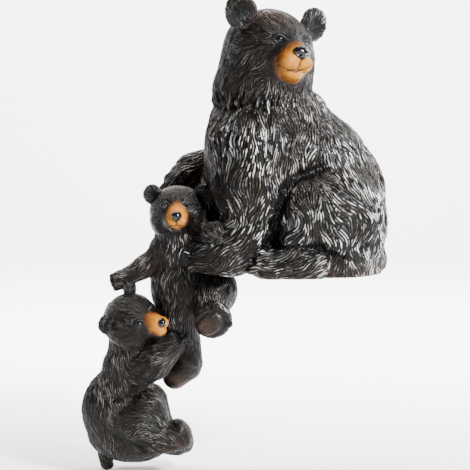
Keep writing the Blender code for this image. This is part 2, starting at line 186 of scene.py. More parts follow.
# %% Heads
class Head:
    """A bear's head: its places are shares of its radius, as (to its right, ahead, above)."""

    def __init__(
        self, centre, radius, forward, up, ear, ears_at, eye, eyes_at, nose, smile, tan,
        muzzle=1.0, ruff=True, far=None,
    ):
        self.centre, self.radius = np.array(centre, float), radius
        self.ahead = unit(forward)
        self.right = unit(np.cross(self.ahead, up))
        self.above = np.cross(self.right, self.ahead)
        self.ear, self.ears_at = ear, ears_at
        self.eye, self.eyes_at = eye, eyes_at
        self.nose, self.tan, self.muzzle, self.ruff = nose, tan, muzzle, ruff
        self.smile = smile
        self.far_smile = far or [(-right, ahead, above) for right, ahead, above in smile]

    def at(self, right, ahead, above):
        turned = self.right * right + self.ahead * ahead + self.above * above
        return self.centre + turned * self.radius

    def local(self, points):
        """The points as shares of the head's radius, along its own axes."""
        offset = (points / STEP - self.centre) / self.radius
        return offset @ self.right, offset @ self.ahead, offset @ self.above

    def egg(self, place, radii, fur=1.0):
        return Egg(
            self.at(*place),
            [share * self.radius for share in radii],
            fur=fur,
            axes=(self.right, self.ahead, self.above),
            lie_from=self.at(0, 1.3 * self.muzzle, 0.05),
        )

    def ear_axes(self, side):
        """The ear's own axes: along its width, out of its cup, and towards its tip."""
        facing = unit(self.ahead + self.right * side * 0.22)
        tip = unit(self.above + self.right * side * 0.50)
        tip = unit(tip - facing * (tip @ facing))
        return np.cross(facing, tip), facing, tip

    def masses(self):
        """Skull, cheeks, brows and the root of the muzzle, which run into each other softly."""
        m, r = self.muzzle, self.radius
        made = [
            self.egg((0, -0.05, 0.05), (1.0, 0.96, 0.88)),
            self.egg((0, 0.70 * m, -0.16), (0.50, 0.54, 0.44), fur=0.0),
            Limb(self.at(0, 0.60, 0.20), 0.34 * r, self.at(0, 1.04 * m, 0.0), 0.27 * r, fur=0.0),
        ]
        for side in (1, -1):
            made.append(self.egg((0.46 * side, 0.16, -0.30), (0.51, 0.58, 0.54)))
            made.append(self.egg((0.34 * side, 0.56, 0.32), (0.30, 0.30, 0.22)))
        if self.ruff:
            made.append(self.egg((0, -0.1, -0.36), (0.90, 0.76, 0.62)))
        return made

    def details(self):
        """Lips, chin and ears, which keep their own edges."""
        m = self.muzzle
        made = [self.egg((0, 0.88 * m, -0.44), (0.29, 0.34, 0.19), fur=0.0)]
        for side in (1, -1):
            made.append(self.egg((0.17 * side, 1.02 * m, -0.19), (0.27, 0.29, 0.22), fur=0.0))
            right, ahead, above = self.ears_at
            made.append(
                Egg(
                    self.at(right * side, ahead, above),
                    [share * self.ear * self.radius for share in (1.0, 0.50, 1.05)],
                    axes=self.ear_axes(side),
                    lie_from=self.at(right * side * 0.6, ahead, above * 0.6),
                )
            )
        return made


MOTHER_HEAD = Head(
    (-33, -8, 154), 31, forward=(0.542, -0.838, -0.06), up=(0.12, 0.07, 1),
    ear=0.38, ears_at=(0.98, 0.13, 0.74), eye=0.074, eyes_at=(0.355, 0.85, 0.255), nose=(0.215, 0.155),
    smile=((0.40, 0.97, -0.29), (0.35, 1.06, -0.34), (0.22, 1.14, -0.385), (0, 1.20, -0.375)),
    far=((-0.30, 1.20, -0.19), (-0.22, 1.26, -0.265), (-0.13, 1.24, -0.34), (0, 1.20, -0.375)),
    tan=(0.47, -0.19, 0.49), ruff=False,
)
UPPER_CUB_HEAD = Head(
    (-96, -20, 43.5), 19.5, forward=(-0.015, -0.99, -0.075), up=(0, 0, 1),
    ear=0.36, ears_at=(0.88, 0, 0.62), eye=0.088, eyes_at=(0.405, 0.83, 0.35), nose=(0.185, 0.19),
    smile=((0.20, 1.20, -0.27), (0.11, 1.26, -0.315), (0, 1.28, -0.30)), tan=(0.42, 0.045, 0.49),
)
LOWER_CUB_HEAD = Head(
    (-128.5, -26, -31), 19.5, forward=(0.812, -0.583, -0.005), up=(-0.30, -0.60, 0.74), muzzle=1.12,
    ear=0.36, ears_at=(0.86, -0.17, 0.75), eye=0.088, eyes_at=(0.395, 0.83, 0.35), nose=(0.17, 0.17),
    smile=((0.22, 1.30, -0.27), (0.12, 1.37, -0.315), (0, 1.40, -0.30)), tan=(0.43, -0.04, 0.50),
)
print("heads of", MOTHER_HEAD.radius, UPPER_CUB_HEAD.radius, LOWER_CUB_HEAD.radius, "steps in radius")

# %% [markdown]
# ## Poses
#
# The poses repeat those of the solid, number for number, so the fine figures fill the same space. Masses
# are blended softly. Details such as toes are pressed in afterwards and keep their edges.

# %% Paws
def paw(centre, ahead, top, radius, reach=1.25):
    """A paw: a pad with four toes across its front end."""
    ahead, top = unit(ahead), unit(top)
    across = np.cross(ahead, top)
    centre = np.array(centre, float)
    made = [Egg(centre, (radius * reach, radius, radius * 0.85), lie=ahead, axes=(ahead, across, top))]
    for share in (-0.66, -0.22, 0.22, 0.66):
        forward = reach * (0.98 - 0.45 * share * share)
        toe = centre + radius * (ahead * forward + across * share * 0.95 - top * 0.12)
        size = radius * 0.33
        made.append(Egg(toe, (size * 1.25, size, size), lie=ahead, axes=(ahead, across, top)))
    return made


# %% The sole
class Sole:
    """A flat sole with a raised pad. Its places are in steps."""

    def __init__(self, centre, along, out, pad, reach, rise):
        self.centre = np.array(centre, float) * STEP
        self.out = unit(out)
        self.across = unit(np.cross(self.out, along))
        self.along = np.cross(self.across, self.out)
        self.half_length, self.half_width = pad[0] * STEP, pad[1] * STEP
        self.reach, self.rise = reach * STEP, rise * STEP

    def press(self, mesh):
        """Flattens the sole, raises the pad in a groove, and returns how much each point is sole."""
        points = places_of(mesh)
        offset = points - self.centre
        along, across, out = offset @ self.along, offset @ self.across, offset @ self.out
        share = np.hypot(along / self.half_length, across / self.half_width)
        in_front = (np.hypot(along, across) < self.reach) & (out > -0.35 * self.reach)
        dome = np.sqrt(np.clip(1 - share**2, 0, 1))
        relief = self.rise * dome - 0.8 * self.rise * bell(share - 1.12, 0.16)
        flat = STEP * -np.logaddexp(0, -out / STEP) + relief
        pressed = np.where(in_front, flat, out)
        move_to(mesh, points + self.out * (pressed - out)[:, None])
        bare = smoothstep(-4 * STEP, -1.5 * STEP, out) * smoothstep(1.6, 1.3, share)
        return np.where(in_front, bare, 0.0)


UPPER_SOLE = Sole(
    (-73.8, -49, -31), along=(0.82, 0, 0.57), out=(-0.10, -0.97, -0.18),
    pad=(9.5, 7.0), reach=16, rise=1.2,
)


# %% The mother
def mother():
    masses = [
        Egg((6, 4, 36), (42, 46, 46)),
        Egg((8, 2, 10), (40, 46, 30)),
        Egg((2, 4, 58), (46, 42, 38), lie=(0.05, 0, -1)),
        Egg((-20, 3, 73), (57, 45, 44), lie=(0.1, 0, -1)),
        Egg((-22, 0, 106), (31, 36, 26), lie=(0.1, 0, -1)),
        Egg((-44, -4, 90), (33, 36, 36)),
        Egg((-46, 12, 54), (31, 26, 34)),
        Egg((-70, 8, 42), (16, 18, 26)),
        Egg((-27, -22, 22), (18, 20, 18)),
        Limb((-36, -3, 134), 29, (-37, -2, 108), 35.5),
    ]
    masses += chain(
        (-45, -22, 88, 30), (-46, -29, 60, 25), (-47, -36, 34, 16),
        (-62, -40, 17, 13.5), (-73, -38.5, 14.5, 12),
    )
    masses += chain((-55, 24, 75, 17), (-85, 26, 69, 12.5), (-97, 16, 61, 10.5))
    masses.append(Egg((-55, -38, 13), (12, 12, 11)))
    details = paw((-76.5, -38.5, 14.5), (-1, 0.05, 0), (0, -1, 0.2), 11.3, reach=0.95)
    details += paw((-100, 13, 59), (-1, -0.6, -0.9), (-0.6, 0, 0.7), 9)
    for side in (-1, 1):
        masses += [
            Egg((14, 27 * side, 36), (34, 24, 37), lie=(0.15, 0, -1)),
            Limb((-8, 38 * side, 52), 16, (14, 31 * side, 44), 21),
            Limb((-8, 38 * side, 50), 16, (-17, 41 * side, 18), 12),
        ]
        details.append(Limb((-3, 43.5 * side, 10), 11.5, (-34, 44 * side, 9.5), 11.5))
        details += paw((-35, 44 * side, 8.5), (-1, 0, 0), (0, 0, 1), 11, reach=1.05)
    details.append(Egg((42, 0, 9), (8, 8, 9)))
    return masses, details


# %% The upper cub
def upper_cub():
    masses = [
        Egg((-92, -12, -8), (23.5, 20, 31)),
        Egg((-96, -14, 16), (20, 18, 16)),
        Egg((-71, -16, -11), (16, 17, 18)),
        Limb((-97, -18, 34), 15, (-97, -14, 14), 15),
    ]
    masses += chain((-105, -14, 15, 9.5), (-120, -18, 5, 7.2), (-132, -20.5, -2, 6.4))
    masses += chain((-82, -18, 16, 10), (-72, -38, 26, 9))
    masses += chain((-72, -24, -12, 14), (-73, -34, -24, 12))
    masses += chain((-96, -12, -28, 15), (-94, -11, -48, 12.5), (-91, -12, -60, 11.5))
    masses.append(Limb((-98.5, -14, -72), 8.8, (-90.5, -13, -65), 10.3, fur=0.1))
    details = paw((-135.5, -21, -3.5), (-1, -0.1, -0.3), (0, -1, 0.2), 6.9, reach=0.75)
    details += paw((-71, -43, 31), (0.45, -0.75, -0.5), (-0.2, -0.6, 0.8), 9.2, reach=0.85)
    along, out = UPPER_SOLE.along, UPPER_SOLE.out
    across = np.cross(out, along)
    foot = UPPER_SOLE.centre / STEP - out * 8 + along * 1.5
    details.append(Egg(foot, (13.2, 12.4, 11), axes=(along, across, out), lie=(0, 0, 1)))
    for share in (-0.75, -0.25, 0.25, 0.75):
        toe = foot + along * (10.6 - 3.6 * share**2) + across * share * 9 + out * 4.5
        details.append(Egg(toe, (3.2, 3.2, 4.6), axes=(along, across, out)))
    return masses, details


# %% The lower cub
def lower_cub():
    masses = [
        Egg((-137, -16, -95), (26.5, 23, 30)),
        Egg((-130, -16, -66), (19, 20, 19)),
        Egg((-134, -14, -113), (25, 23, 17)),
        Egg((-126, -18, -119), (22, 19, 12)),
        Limb((-129, -20, -44), 15, (-129, -16, -62), 16),
        Egg((-111, -18, -46), (9, 8, 9)),
    ]
    masses += chain((-123, -27, -66, 12), (-112, -30, -60, 11), (-100, -27, -49, 8.5))
    masses += chain((-126, -2, -62, 11), (-108, 4, -58, 9), (-96, 4, -52, 8))
    details = paw((-97, -25, -45), (0.6, 0.5, 0.75), (0, -1, 0.3), 7, reach=1.0)
    sole_axes = (unit((0.9, 0, 0.42)), (0, 1, 0), unit((-0.42, 0, 0.9)))
    for y, fall in ((-31, 0), (-4, 8)):
        masses += chain((-124, y + 3, -100, 18), (-117, y + 1, -91, 12), (-112, y, -108, 12))
        masses.append(Limb((-112, y, -113 - fall / 2), 10.5, (-98, y, -110.5 - fall), 11))
        details.append(Egg((-94, y, -109 - fall), (7.5, 10.2, 11.2), axes=sole_axes, fur=0.3))
    details.append(Limb((-149, -14, -120), 5.5, (-146, -16, -133), 4.5))
    return masses, details


# %% [markdown]
# ## One skin from many masses
#
# A voxel remesh turns any heap of overlapping closed shapes into one skin with even quads. The skin is
# then moved to where the masses, taken together, run into each other: the sum of their nearnesses falls
# off exponentially, so only masses that are close to a point pull on it. This rounds every armpit and
# fold by the same small radius and leaves the rest alone.

# %% Reading and moving a mesh
MOST_NEIGHBOURS = 12


def vectors(items, name):
    values = np.empty(len(items) * 3, np.float32)
    items.foreach_get(name, values)
    return values.reshape(-1, 3).astype(float)


def places_of(mesh):
    return vectors(mesh.vertices, "co")


def normals_of(mesh):
    return vectors(mesh.vertex_normals, "vector")


def quads_of(mesh):
    corners = np.empty(len(mesh.loops), np.int32)
    mesh.loops.foreach_get("vertex_index", corners)
    return corners.reshape(-1, 4)


def move_to(mesh, points):
    mesh.vertices.foreach_set("co", points.astype(np.float32).ravel())
    mesh.update()


def neighbours_of(mesh):
    """For each vertex, the vertices that share a face with it, filled up with itself."""
    quads = quads_of(mesh).astype(np.int64)
    count = len(mesh.vertices)
    keys = [quads[:, a] * count + quads[:, b] for a in range(4) for b in range(4) if a != b]
    keys = np.unique(np.concatenate(keys))
    start, other = keys // count, keys % count
    rank = np.arange(len(keys)) - np.searchsorted(start, np.arange(count))[start]
    table = np.tile(np.arange(count)[:, None], (1, MOST_NEIGHBOURS))
    fits = rank < MOST_NEIGHBOURS
    table[start[fits], rank[fits]] = other[fits]
    return table


# %% One skin
def new_piece(name, clay):
    mesh = bpy.data.meshes.new(name)
    clay.to_mesh(mesh)
    clay.free()
    mesh.shade_smooth()
    piece = bpy.data.objects.new(name, mesh)
    bpy.context.scene.collection.objects.link(piece)
    return piece


def one_skin(piece, grain, times):
    """Remeshes the piece with the grain, smooths it, and gives it the mesh that comes out."""
    remesh = piece.modifiers.new("one_skin", "REMESH")
    remesh.mode = "VOXEL"
    remesh.voxel_size = grain
    remesh.use_smooth_shade = True
    smooth = piece.modifiers.new("thumbed_smooth", "SMOOTH")
    smooth.factor = 0.5
    smooth.iterations = times
    graph = bpy.context.evaluated_depsgraph_get()
    finished = bpy.data.meshes.new_from_object(piece.evaluated_get(graph))
    piece.modifiers.clear()
    piece.data = finished


def blend(piece, forms, softness):
    """Moves the skin out to where the forms, taken together, run into each other softly."""
    for _ in range(4):
        points = places_of(piece.data)
        nearness = sum(np.exp(np.clip(-form.depth(points) / softness, -30, 8)) for form in forms)
        outside = np.clip(-np.log(nearness), -2, 2) * softness
        move_to(piece.data, points - normals_of(piece.data) * outside[:, None])


def model_figure(name, masses, details, softness, grain):
    """Blends the masses into one skin, and then joins the details to it with a crisper edge."""
    clay = bmesh.new()
    for form in masses:
        form.add_to(clay)
    lump = new_piece("lump", clay)
    one_skin(lump, grain * 1.4, 8)
    blend(lump, masses, softness)
    whole = bmesh.new()
    whole.from_mesh(lump.data)
    bpy.data.objects.remove(lump)
    for form in details:
        form.add_to(whole)
    figure = new_piece(name, whole)
    one_skin(figure, grain, round(4 + 3 * STEP / grain))
    return figure


# %% [markdown]
# ## Combing the fur
#
# Each form knows which way its fur lies. At a point on the skin the lies of the nearest forms are mixed,
# laid flat on the surface, and swung left and right by two sizes of smooth noise, which makes the waves.

# %% Which way the fur lies
def noise_at(points, size, seed):
    offset = Vector((seed * 3.7, seed * 1.3, seed * 2.1))
    return np.array([noise.noise(Vector(p) / size + offset) for p in points.tolist()])


def comb(points, normals, forms, wave, swing):
    """The way the fur lies at each point, and how furry the point is."""
    lie = np.zeros_like(points)
    fur = np.zeros(len(points))
    total = np.full(len(points), 1e-9)
    for form in forms:
        weight = np.exp(-np.clip(form.depth(points) / (4 * STEP), 0, 12))
        lie += form.lies(points) * weight[:, None]
        fur += weight * form.fur
        total += weight
    lie -= normals * np.sum(lie * normals, axis=1, keepdims=True)
    lie /= np.linalg.norm(lie, axis=1, keepdims=True) + 1e-12
    across = np.cross(normals, lie)
    turn = swing * (noise_at(points, wave, 1) + noise_at(points, wave * 0.42, 4))
    lie = lie * np.cos(turn)[:, None] + across * np.sin(turn)[:, None]
    return lie, np.clip(fur / total, 0, 1)


# %% [markdown]
# Locks come from streaking: every vertex gets a value from fine noise, and the values are then averaged
# along the lie of the fur, walking from vertex to vertex. Speckle becomes wavy streaks, as when a comb is
# drawn through wet clay.
#
# Strands need to be evenly spaced, as the teeth of the comb are. Each vertex holds an angle that should
# turn once from one strand to the next. The vertices start at random and then agree with their neighbours
# again and again, each moved by what the spacing asks. Where they can't agree, a strand forks or ends, as
# strands of fur do.

# %% Locks
def streak(values, points, lie, table, stride, length):
    """Averages the values along the fur, walking from vertex to vertex both ways."""
    total = values.copy()
    count = 1
    for way in (1, -1):
        at = np.arange(len(points))
        place = points.copy()
        for _ in range(round(length / 2 / stride)):
            place = place + lie[at] * stride * way
            nearby = table[at]
            gaps = points[nearby] - place[:, None, :]
            at = nearby[np.arange(len(at)), np.argmin(np.einsum("ijk,ijk->ij", gaps, gaps), axis=1)]
            total += values[at]
            count += 1
    return total / count


def ridges(values):
    """Round ridges with sharp grooves between them, from 0 in a groove to 1 on a ridge."""
    return np.clip(np.abs(values / values.std()) / 1.5, 0, 1) ** 0.75


# %% Strands
def strand_angles(points, across, table, rounds):
    """An angle for each vertex, which turns once from one strand to the next."""
    steps = points[table] - points[:, None]
    turns = np.einsum("ijk,ijk->ij", steps, (across[table] + across[:, None]) / 2)
    towards_me = np.exp(-1j * turns)
    waves = np.exp(2j * np.pi * np.random.default_rng(7).random(len(points)))
    for _ in range(rounds):
        waves = (waves[table] * towards_me).sum(axis=1)
        waves /= np.abs(waves) + 1e-9
    return np.angle(waves)


def strand_corners(mesh, points, across, angles):
    """The strand count at each face corner, unwound so that it runs on evenly inside a face."""
    quads = quads_of(mesh)
    first = quads[:, :1]
    turns = np.einsum("ijk,ijk->ij", points[quads] - points[first], (across[quads] + across[first]) / 2)
    expected = angles[first] + turns
    unwound = angles[quads] + 2 * np.pi * np.round((expected - angles[quads]) / (2 * np.pi))
    return (unwound / (2 * np.pi)).ravel()


# %% [markdown]
# ## Faces
#
# Small features are pressed into the finished skin: sockets under raised lids, hollow ears, and a smile
# as a thin line. Every press is a smooth function of the distance to a place on the head, so it keeps its
# shape at any grain of the clay.

# %% Surface features
def smoothstep(low, high, values):
    t = np.clip((values - low) / (high - low), 0, 1)
    return t * t * (3 - 2 * t)


def bell(values, width):
    return np.exp(-((values / width) ** 2))


def on_skin(points, head, place):
    """The point of the skin in the direction of a place on the head."""
    wanted = unit(head.at(*place) - head.centre)
    offset = points - head.centre * STEP
    along = offset @ wanted
    aside = np.linalg.norm(offset - along[:, None] * wanted, axis=1)
    return points[np.argmin(np.where(along > 0, aside, 1.0))]


def set_eyes(mesh, head):
    """Presses sockets and raises lids. Returns the eyes' places and the skin's normals there."""
    size = head.radius * STEP
    lid_at = head.eye * 1.15
    eyes = []
    for side in (1, -1):
        points, normals = places_of(mesh), normals_of(mesh)
        right, ahead, above = head.eyes_at
        eye = on_skin(points, head, (right * side, ahead, above))
        out = unit(normals[np.linalg.norm(points - eye, axis=1) < 0.12 * size].mean(axis=0))
        offset = points - eye
        wide, high = offset @ head.right / size, offset @ head.above / size
        apart = np.hypot(wide / 1.25, high * (1 + 0.2 * (high < 0)))
        near = np.linalg.norm(offset, axis=1) < 0.5 * size
        lid = bell(apart - lid_at, 0.030) * (0.018 + 0.030 * smoothstep(-0.04, 0.08, high))
        fold = -0.026 * bell(apart - lid_at * 1.62, 0.018) * smoothstep(0.0, 0.10, high)
        bag = -0.014 * bell(apart - lid_at * 1.7, 0.020) * smoothstep(0.0, 0.10, -high)
        socket = -0.060 * bell(apart, head.eye * 0.9) - 0.045 * bell(apart, 0.24)
        move_to(mesh, points + out * ((lid + fold + bag + socket) * near * size)[:, None])
        eyes.append((eye - out * 0.045 * size, out))
    return eyes


def hollow_ears(mesh, head):
    """Presses each ear into a cup and returns how deep in a cup each point is."""
    points = places_of(mesh)
    cup = np.zeros(len(points))
    for side in (1, -1):
        width, facing, tip = head.ear_axes(side)
        right, ahead, above = head.ears_at
        centre = head.at(right * side, ahead, above) * STEP
        size = head.ear * head.radius * STEP
        local = points - centre
        off_axis = np.hypot(local @ width, local @ tip + 0.06 * size) / (0.74 * size)
        inside = np.where((off_axis < 1) & (local @ facing > 0), 1 - off_axis**2, 0)
        cup = np.maximum(cup, np.clip(inside * 1.6, 0, 1))
        points = points - facing * (0.46 * size * inside)[:, None]
    move_to(mesh, points)
    return cup


def press_lines(mesh, head, lines, width, depth):
    """Presses thin lines into the skin and returns how far in a line each point is."""
    points, normals = places_of(mesh), normals_of(mesh)
    pressed = np.zeros(len(points))
    for line in lines:
        for a, b in zip(line, line[1:]):
            for share in np.linspace(0, 1, 14):
                spot = on_skin(points, head, np.array(a) * (1 - share) + np.array(b) * share)
                near = 1 - np.linalg.norm(points - spot, axis=1) / width
                pressed = np.maximum(pressed, np.clip(near, 0, 1))
    move_to(mesh, points - normals * (depth * pressed)[:, None])
    return pressed


def mouth_lines(head):
    """The smile on both sides, and the short line up to the nose."""
    right, ahead, above = head.smile[-1]
    return [head.smile, head.far_smile, [(right, ahead, above), (0, ahead + 0.05, -0.12)]]


def tan_patch(points, head):
    """How far inside the tan paint of the muzzle each point is: 1 on the nose, 0 at the edge."""
    right, ahead, above = head.local(points)
    half_width, middle, half_height = head.tan
    rise = (above - middle) / half_height
    off = np.hypot(right / (half_width * (1 - 0.28 * np.clip(rise, 0, 1))), rise)
    inside = np.clip(1 - off, -1, 1) * (1 - 0.35 * smoothstep(0.1, 0.8, rise) * (off < 1))
    return inside * (ahead > 0.35) - (ahead <= 0.35)


# %% [markdown]
# ## From clay to casting
#
# `cast` puts one piece together: the skin, the features, the fur, the flat seat, and the attributes that
# tell the paint where everything is. Creases are found by letting every point drift to the middle of its
# neighbours many times: in a crease it drifts outwards. The paint darkens deep creases as painted shade.

# %% Creases and brushed places
def crease_depth(points, normals, table, rounds):
    """How deep in a crease each point lies. It is negative on a crest."""
    drifted = points
    for _ in range(rounds):
        drifted = drifted[table].mean(axis=1)
    return np.sum((drifted - points) * normals, axis=1)


def brushed(points, places):
    """How much paint went onto the points near the places, each a centre, a reach and an amount."""
    amount = np.zeros(len(points))
    for centre, reach, most in places:
        apart = np.linalg.norm(points - np.array(centre, float) * STEP, axis=1) / (reach * STEP)
        amount = np.maximum(amount, most * smoothstep(1, 0, apart))
    return amount


def press_folds(mesh, folds):
    """Presses folds into the seen side, each a line of (x, z) places, a width and a depth."""
    for line, width, depth in folds:
        points, normals = places_of(mesh), normals_of(mesh)
        flat = points[:, (0, 2)] / STEP
        apart = np.full(len(points), 1e3)
        for a, b in zip(np.array(line, float), np.array(line[1:], float)):
            share = np.clip((flat - a) @ (b - a) / ((b - a) @ (b - a)), 0, 1)
            apart = np.minimum(apart, np.linalg.norm(flat - a - share[:, None] * (b - a), axis=1))
        facing = smoothstep(0.1, 0.6, -normals[:, 1])
        move_to(mesh, points - normals * (depth * STEP * bell(apart, width) * facing)[:, None])


def seat_flat(mesh):
    """Everything over the shelf that dips below it is pressed flat onto it."""
    points = places_of(mesh)
    under = (points[:, 0] > SHELF_EDGE_X) & (points[:, 2] < 0)
    points[under, 2] = 0
    move_to(mesh, points)


def keep(mesh, name, values, domain="POINT"):
    mesh.attributes.new(name, "FLOAT", domain).data.foreach_set("value", values.astype(np.float32))


# %% Pressing the fur
LOCK_LENGTH = 2.4
STROKE_LENGTH = 2.6
SPACING_VARIES = 0.35
CREASE_ROUNDS = 50
FRINGE_TOP, FRINGE_FOOT = 130 * STEP, 118 * STEP


def press_fur(mesh, forms, bare, fur_size):
    """Lifts the skin into locks and strands, and keeps what the paint needs to know of them."""
    points, normals = places_of(mesh), normals_of(mesh)
    table = neighbours_of(mesh)
    lock, strand, wave = fur_size["lock"], fur_size["strand"], fur_size["wave"]
    lie, fur = comb(points, normals, forms, wave, fur_size["swing"])
    fur = fur * (1 - bare)
    stride = np.linalg.norm(points[table[:, 0]] - points, axis=1).mean()
    locks = streak(noise_at(points, lock, 2), points, lie, table, stride, lock * LOCK_LENGTH)
    locks = ridges(locks)
    shine = streak(noise_at(points, strand, 3), points, lie, table, stride, strand * STROKE_LENGTH)
    spacing = strand * (1 + SPACING_VARIES * noise_at(points, wave, 5))
    across = np.cross(normals, lie) * (2 * np.pi / spacing)[:, None]
    angles = strand_angles(points, across, table, fur_size["rounds"])
    keep(mesh, "strand", strand_corners(mesh, points, across, angles), "CORNER")
    keep(mesh, "locks", locks)
    keep(mesh, "shine", np.clip(0.5 + 0.25 * shine / shine.std(), 0, 1))
    keep(mesh, "fur", fur)
    keep(mesh, "crease", crease_depth(points, normals, table, CREASE_ROUNDS) / STEP)
    fringe = fur_size["fringe"] * smoothstep(FRINGE_TOP, FRINGE_FOOT, points[:, 2])
    lift = (fur_size["lock_depth"] + fringe) * (locks - 0.5)
    lift += fur_size["depth"] * (np.abs(np.cos(angles / 2)) - 0.6)
    move_to(mesh, points + normals * (lift * fur)[:, None])


def press_face(mesh, head):
    """Eyes, ears, mouth and the masks of their paint. Returns how bare of fur each point is."""
    size = head.radius * STEP
    eyes = set_eyes(mesh, head)
    cup = hollow_ears(mesh, head)
    line = press_lines(mesh, head, mouth_lines(head), 0.045 * size, 0.035 * size)
    points = places_of(mesh)
    tan = tan_patch(points, head)
    from_eyes = [np.linalg.norm(points - eye, axis=1) / size for eye, _ in eyes]
    orbit = np.max([bell(apart, head.eye * 1.9) for apart in from_eyes], axis=0)
    for name, values in (("tan", tan), ("orbit", orbit), ("cup", cup), ("line", line)):
        keep(mesh, name, values)
    return np.clip(np.maximum(smoothstep(-0.08, 0.18, tan), orbit * 1.5), 0, 1), eyes


def cast(name, masses, details, head, softness, grain, fur_size, silver_and_highlight, warm, folds, sole):
    """One piece of fur, from its clay to its attributes, and the places of its eyes."""
    if head:
        masses, details = head.masses() + masses, details + head.details()
    piece = model_figure(name, masses, details, softness, grain)
    mesh = piece.data
    press_folds(mesh, folds)
    bare, eyes = press_face(mesh, head) if head else (0.0, [])
    if sole:
        bare = sole.press(mesh)
    points = places_of(mesh)
    keep(mesh, "silver_and_highlight", brushed(points, silver_and_highlight))
    keep(mesh, "warm", brushed(points, warm))
    press_fur(mesh, masses + details, bare, fur_size)
    seat_flat(mesh)
    print(name, len(mesh.vertices), "vertices,", 2 * len(mesh.polygons), "triangles")
    return piece, eyes


# %% The pieces of fur
def fur_of(lock, lock_depth, strand, depth, wave, swing, rounds, fringe=0):
    """The sizes of one kind of fur. The lengths are in steps."""
    lengths = {"lock": lock, "lock_depth": lock_depth, "strand": strand, "depth": depth, "wave": wave}
    sizes = {name: length * STEP for name, length in lengths.items()}
    return {**sizes, "fringe": fringe * STEP, "swing": swing, "rounds": rounds}


MOTHER_FUR = fur_of(lock=6, lock_depth=1.4, strand=1.95, depth=0.6, wave=22, swing=0.75, rounds=36)
HEAD_FUR = fur_of(
    lock=5, lock_depth=0.8, strand=1.65, depth=0.28, wave=16, swing=0.75, rounds=26, fringe=3.2
)
CUB_FUR = fur_of(lock=3.8, lock_depth=0.6, strand=1.5, depth=0.32, wave=14, swing=0.6, rounds=30)
CUB_HEAD_FUR = fur_of(lock=3.4, lock_depth=0.4, strand=1.3, depth=0.2, wave=12, swing=0.6, rounds=30)

neck = [Limb((-35, -4, 142), 32.5, (-38, -5, 126), 34.5)]
MOTHER_FOLDS = [
    (((3, 76), (-10, 71), (-21, 62), (-26, 49), (-31, 36), (-35, 24)), 3.2, 3.4),
    (((-30, 34), (-31, 24)), 5.0, 4.0),
    (((-34, 21), (-20, 22.5), (0, 20), (18, 14)), 2.4, 2.6),
]
LOWER_FOLDS = [(((-140, -84), (-128, -80), (-116, -84)), 2.0, 1.6)]
# Where the tips are silvered: dry brush, and also painted highlight on the fur that catches the most
# light.
MOTHER_SILVER_AND_HIGHLIGHT = [
    ((34, -30, 62), 60, 1.0), ((-22, -45, 85), 32, 1.0), ((-18, -54, 22), 32, 1.0),
    ((22, -42, 28), 40, 0.8), ((-84, -46, 16), 14, 0.9), ((-30, -38, 112), 24, 0.7),
]
MOTHER_WARM = [
    ((0, -40, -6), 24, 1.0), ((35, -30, -8), 30, 1.0), ((-40, -50, -6), 20, 0.8), ((50, 0, 80), 30, 0.8),
    ((-72, -20, 100), 22, 0.7), ((-72, -38, 4), 20, 0.5), ((-85, 10, 70), 34, 0.8),
]
# The first place, on the bridge of the nose, is a painted highlight; the others are silver and painted
# highlight.
HEAD_SILVER_AND_HIGHLIGHT = [
    ((-20, -32, 165), 6, 0.7), ((-60, -10, 182), 13, 0.9), ((2, 8, 182), 13, 0.9),
    ((-28, -36, 116), 24, 0.9),
]
HEAD_WARM = [((-30, -20, 184), 26, 1.0), ((-66, -10, 130), 20, 0.6)]
UPPER_SILVER_AND_HIGHLIGHT = [((-69, -50, 30), 13, 1.0), ((-96, -34, 18), 16, 0.7), ((-66, -46, -22), 12, 0.8)]
UPPER_WARM = [
    ((-92, -16, -80), 24, 0.6), ((-118, -14, 4), 22, 0.5), ((-62, 0, -14), 24, 0.5),
    ((-78, -50, -36), 12, 0.5),
]
CROWN_SILVER_AND_HIGHLIGHT = [((-96, -36, 56), 7, 0.8)]
CROWN_WARM = [((-96, -22, 63), 12, 1.0), ((-82, -10, 60), 10, 0.7)]
LOWER_SILVER_AND_HIGHLIGHT = [((-112, -36, -96), 20, 0.6), ((-106, -36, -58), 12, 0.5)]
LOWER_WARM = [((-98, -34, -122), 22, 0.9), ((-90, -30, -108), 12, 0.8), ((-130, -14, -134), 22, 0.7)]

figures = {}
for name, (masses, details), head, softness, grain, fur_size, silver_and_highlight, warm in (
    ("mother_body", mother(), None, 2.2, 1.03, MOTHER_FUR, MOTHER_SILVER_AND_HIGHLIGHT, MOTHER_WARM),
    ("mother_head", (neck, []), MOTHER_HEAD, 1.8, 0.60, HEAD_FUR, HEAD_SILVER_AND_HIGHLIGHT, HEAD_WARM),
    ("upper_cub_body", upper_cub(), None, 1.2, 0.60, CUB_FUR, UPPER_SILVER_AND_HIGHLIGHT, UPPER_WARM),
    ("upper_cub_head", ([], []), UPPER_CUB_HEAD, 1.1, 0.39, CUB_HEAD_FUR, CROWN_SILVER_AND_HIGHLIGHT, CROWN_WARM),
    ("lower_cub_body", lower_cub(), None, 1.2, 0.62, CUB_FUR, LOWER_SILVER_AND_HIGHLIGHT, LOWER_WARM),
    ("lower_cub_head", ([], []), LOWER_CUB_HEAD, 1.1, 0.39, CUB_HEAD_FUR, [], []),
):
    folds = {"mother_body": MOTHER_FOLDS, "lower_cub_body": LOWER_FOLDS}.get(name, [])
    sole = UPPER_SOLE if name == "upper_cub_body" else None
    piece, eyes = cast(
        name, masses, details, head, softness * STEP, grain * STEP, fur_size, silver_and_highlight, warm, folds, sole
    )
    figures[name] = (piece, eyes, head)

